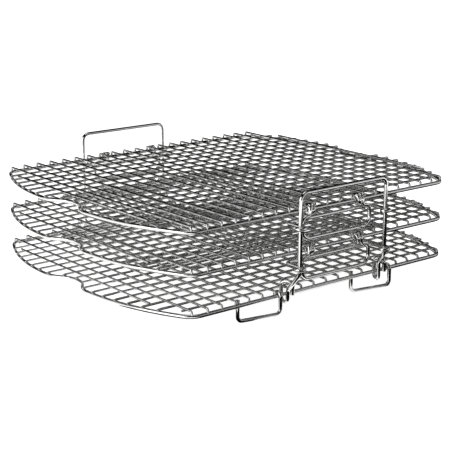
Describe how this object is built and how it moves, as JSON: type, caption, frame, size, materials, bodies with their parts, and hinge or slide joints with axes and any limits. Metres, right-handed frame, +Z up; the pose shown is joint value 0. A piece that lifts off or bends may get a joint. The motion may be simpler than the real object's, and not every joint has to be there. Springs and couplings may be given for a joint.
{
  "type": "cooling rack",
  "caption": "Stacked wire cooling rack: wide mesh tiers with finger notches, folding loop legs, and swing-out wire frames at the ends that carry and lock the tiers.",
  "frame": {"origin": "on the worktop, below the middle of the rack", "axes": "+X along the carrying frames, +Y from the front frame to the rear frame, +Z up"},
  "size_m": [0.2932, 0.2808, 0.0915],
  "materials": {
    "rim_wire": "bright drawn stainless wire, electropolished",
    "grid_wire": "bright drawn stainless wire, welded and electropolished",
    "leg_wire": "bright drawn stainless wire, bent cold",
    "frame_wire": "bright drawn stainless wire, bent cold",
    "foot_wire": "bright drawn stainless wire, bent cold"
  },
  "bodies": {
    "bottom_tier": {"bottom_rim": "rim_wire", "bottom_long_wires": "grid_wire", "bottom_side_wires": "grid_wire", "bottom_cross_wires": "grid_wire", "bottom_corner_wires": "grid_wire", "front_left_foot": "foot_wire", "front_right_foot": "foot_wire", "rear_left_foot": "foot_wire", "rear_right_foot": "foot_wire"},
    "middle_tier": {"middle_rim": "rim_wire", "middle_long_wires": "grid_wire", "middle_side_wires": "grid_wire", "middle_cross_wires": "grid_wire", "middle_corner_wires": "grid_wire"},
    "top_tier": {"top_rim": "rim_wire", "top_long_wires": "grid_wire", "top_side_wires": "grid_wire", "top_cross_wires": "grid_wire", "top_corner_wires": "grid_wire"},
    "middle_front_leg_body": {"middle_front_leg": "leg_wire"},
    "middle_rear_leg_body": {"middle_rear_leg": "leg_wire"},
    "top_front_leg_body": {"top_front_leg": "leg_wire"},
    "top_rear_leg_body": {"top_rear_leg": "leg_wire"},
    "front_frame_body": {"front_frame": "frame_wire", "front_lower_keeper": "frame_wire", "front_upper_keeper": "frame_wire"},
    "rear_frame_body": {"rear_frame": "frame_wire", "rear_lower_keeper": "frame_wire", "rear_upper_keeper": "frame_wire"}
  },
  "joints": [
    {"name": "front_frame_swing", "type": "hinge", "parent": "bottom_tier", "child": "front_frame_body", "pos_m": [0, -0.1185, 0.014], "axis": [1, 0, 0], "range_deg": [0, 12]},
    {"name": "rear_frame_swing", "type": "hinge", "parent": "bottom_tier", "child": "rear_frame_body", "pos_m": [0, 0.1185, 0.014], "axis": [-1, 0, 0], "range_deg": [0, 12]},
    {"name": "middle_tier_lift", "type": "slide", "parent": "bottom_tier", "child": "middle_tier", "axis": [0, 0, 1], "range_m": [0, 0.014]},
    {"name": "top_tier_lift", "type": "slide", "parent": "middle_tier", "child": "top_tier", "axis": [0, 0, 1], "range_m": [0, 0.045]},
    {"name": "middle_front_leg_fold", "type": "hinge", "parent": "middle_tier", "child": "middle_front_leg_body", "pos_m": [0, -0.1185, 0.043], "axis": [-1, 0, 0], "range_deg": [0, 46]},
    {"name": "middle_rear_leg_fold", "type": "hinge", "parent": "middle_tier", "child": "middle_rear_leg_body", "pos_m": [0, 0.1185, 0.043], "axis": [1, 0, 0], "range_deg": [0, 46]},
    {"name": "top_front_leg_fold", "type": "hinge", "parent": "top_tier", "child": "top_front_leg_body", "pos_m": [0, -0.1185, 0.072], "axis": [-1, 0, 0], "range_deg": [0, 103]},
    {"name": "top_rear_leg_fold", "type": "hinge", "parent": "top_tier", "child": "top_rear_leg_body", "pos_m": [0, 0.1185, 0.072], "axis": [1, 0, 0], "range_deg": [0, 103]}
  ],
  "couplings": [
    {"joint": "middle_front_leg_fold", "follows": "front_frame_swing", "ratio": 3.8},
    {"joint": "top_front_leg_fold", "follows": "front_frame_swing", "ratio": 8.5},
    {"joint": "middle_rear_leg_fold", "follows": "rear_frame_swing", "ratio": 3.8},
    {"joint": "top_rear_leg_fold", "follows": "rear_frame_swing", "ratio": 8.5}
  ]
}
